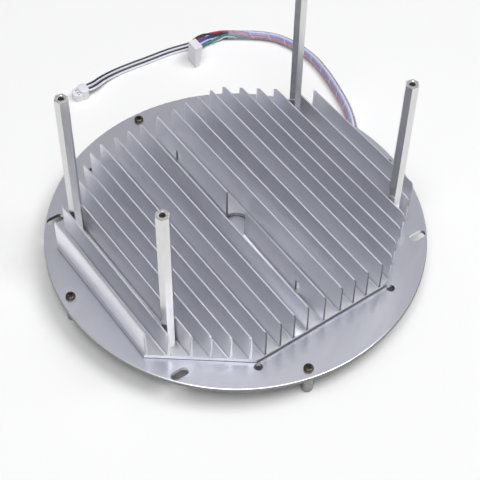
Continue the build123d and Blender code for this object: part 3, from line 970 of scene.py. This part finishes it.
def emitter(index, x, y):
    top = emitterSet["boardLow"]
    low = top - emitterSet["baseHigh"]
    base = emitterBase("emitterBase%d" % index, low, top)
    die = emitterDie("emitterDie%d" % index, low)
    dome = emitterDome("emitterDome%d" % index, low)
    solder = emitterSolder("emitterSolder%d" % index, top)
    place = Matrix.Translation((x, y, 0))
    for piece in (base, die, dome):
        piece.data.transform(place)
    # the leads of the outer ones lie along their circle
    solder.data.transform(place @ Matrix.Rotation(math.atan2(y, x) if index > 1 else 0.0, 4, "Z"))
    keep(base, "white_plastic")
    keep(die, "emitter", phosphorLayer)
    keep(dome, "emitter")
    keep(solder, "zinc_screw", solderMetal)
    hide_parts("led_emitter_%d" % index)


emitter(1, 0.0, 0.0)
for i in range(emitterSet["count"]):
    turn = 2 * math.pi * i / emitterSet["count"]
    emitter(i + 2, emitterSet["circle"] * math.cos(turn), emitterSet["circle"] * math.sin(turn))
print("emitters made")

# the extrusion again, with its fins drawn in to the thickness that they have in the photograph
# before and after are the fins' half thickness at root and tip; millimetres, but for the merge gap in metres
finSet = {
    "pitches": (11.85, 9.4, 9.4, 10.2, 8.6, 8.6, 8.6, 8.6, 9.95, 9.95), "half": 96.3, "plateTop": 22.0,
    "finTop": 42.7, "before": (0.9, 0.65), "after": (0.65, 0.45), "filletReach": 0.62,
    "slack": 0.01, "wallSlack": 0.02, "mergeGap": 0.000002,
}


def thinFins():
    s = finSet
    places, at = [0.0], 0.0
    for pitch in s["pitches"]:
        at += pitch
        places += [at, -at]
    body = bpy.data.objects.new("thinFins", nodes["fin_extrusion"].data.copy())
    scene.collection.objects.link(body)
    edit(body)
    bpy.ops.mesh.select_all(action="SELECT")
    bpy.ops.mesh.remove_doubles(threshold=s["mergeGap"])
    done()
    for corner in body.data.vertices:
        x, z = corner.co.x * 1000, corner.co.z * 1000
        if z < s["plateTop"] - s["slack"] or abs(x) > s["half"] - s["slack"]:
            continue
        middle = min(places, key=lambda place: abs(place - x))
        up = (z - s["plateTop"]) / (s["finTop"] - s["plateTop"])
        wall, thin = [root + (tip - root) * up for root, tip in (s["before"], s["after"])]
        side = abs(x - middle)
        if side <= wall + s["wallSlack"]:
            side *= thin / wall
        else:  # the fillet at the fin's foot fades into the plate
            side -= (wall - thin) * max(0.0, 1 - (side - wall) / s["filletReach"])
        corner.co.x = (middle + math.copysign(side, x - middle)) / 1000
    smoothBy(body, 28)
    keep(body, "fin_aluminium")
    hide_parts("fin_extrusion")


thinFins()
print("fins thinned")

# the machined pieces keep their own shape and get their finish
slotOf = {part["node"]: part["material_slot"] for part in frame["record"]["subparts"]}
for name, piece in nodes.items():
    slot = slotOf.get(name)
    if slot in materials and piece.type == "MESH":
        piece.data.materials.clear()
        piece.data.materials.append(materials[slot])
print("finishes given to the machined pieces")

# floor, light and background
studioSet = {
    "floor": 8.0, "floorAt": -0.0002, "floorTone": (0.92, 0.92, 0.925, 1), "white": (0.985, 0.985, 1.0, 1),
    "ambient": 0.05, "horizon": 1.0, "ceiling": 0.48, "skyFade": (0.02, 0.45),
}
# each soft lamp: direction and height in degrees, distance, size, power
lampSet = {
    "keyLight": (225, 62, 6.5, 3.6, 215.0), "sideLight": (318, 62, 6.5, 3.6, 203.0),
    "topLight": (0, 88, 6.5, 3.8, 70.0), "frontGlow": (50, 66, 2.4, 0.7, 0.6),
}
clear()
bpy.ops.mesh.primitive_plane_add(size=studioSet["floor"], location=(0, 0, studioSet["floorAt"]))
floor = bpy.context.active_object
floor.name = "studioFloor"
floorRecipe = Recipe("studioFloor")
matt = floorRecipe.add("ShaderNodeBsdfDiffuse", {}, {"Color": studioSet["floorTone"]})
floorRecipe.add("ShaderNodeOutputMaterial", {}, {"Surface": matt})
floor.data.materials.append(floorRecipe.material)

# white at the horizon and a dimmer ceiling where it is seen or mirrored, and little light of its own
world = bpy.data.worlds.new("studioWorld")
scene.world = world
world.use_nodes = True
air = Recipe("studioWorld", world.node_tree)
rays = air.add("ShaderNodeLightPath").socket.node.outputs
seen, mirrored, through = [Flow(air, rays[name]) for name in
                           ("Is Camera Ray", "Is Glossy Ray", "Is Transmission Ray")]
shown = seen.larger(mirrored).larger(through)
upward = air.split(air.add("ShaderNodeTexCoord", output="Generated"))[2]
darker = studioSet["horizon"] - studioSet["ceiling"]
sky = studioSet["horizon"] - upward.ramp(*studioSet["skyFade"]) * darker
level = sky * shown + (1 - shown) * studioSet["ambient"]
light = air.add("ShaderNodeBackground", {}, {"Color": studioSet["white"], "Strength": level})
air.add("ShaderNodeOutputWorld", {}, {"Surface": light})


def softLight(name, around, height, distance, size, power):
    data = bpy.data.lights.new(name, "AREA")
    data.shape = "DISK"
    data.size = size
    data.energy = power
    lamp = bpy.data.objects.new(name, data)
    scene.collection.objects.link(lamp)
    turn, rise = math.radians(around), math.radians(height)
    flat = math.cos(rise)
    lamp.location = Vector((flat * math.cos(turn), flat * math.sin(turn), math.sin(rise))) * distance
    lamp.rotation_euler = (-lamp.location).to_track_quat("-Z", "Y").to_euler()


for name, values in lampSet.items():
    softLight(name, *values)
print("floor and light ready")
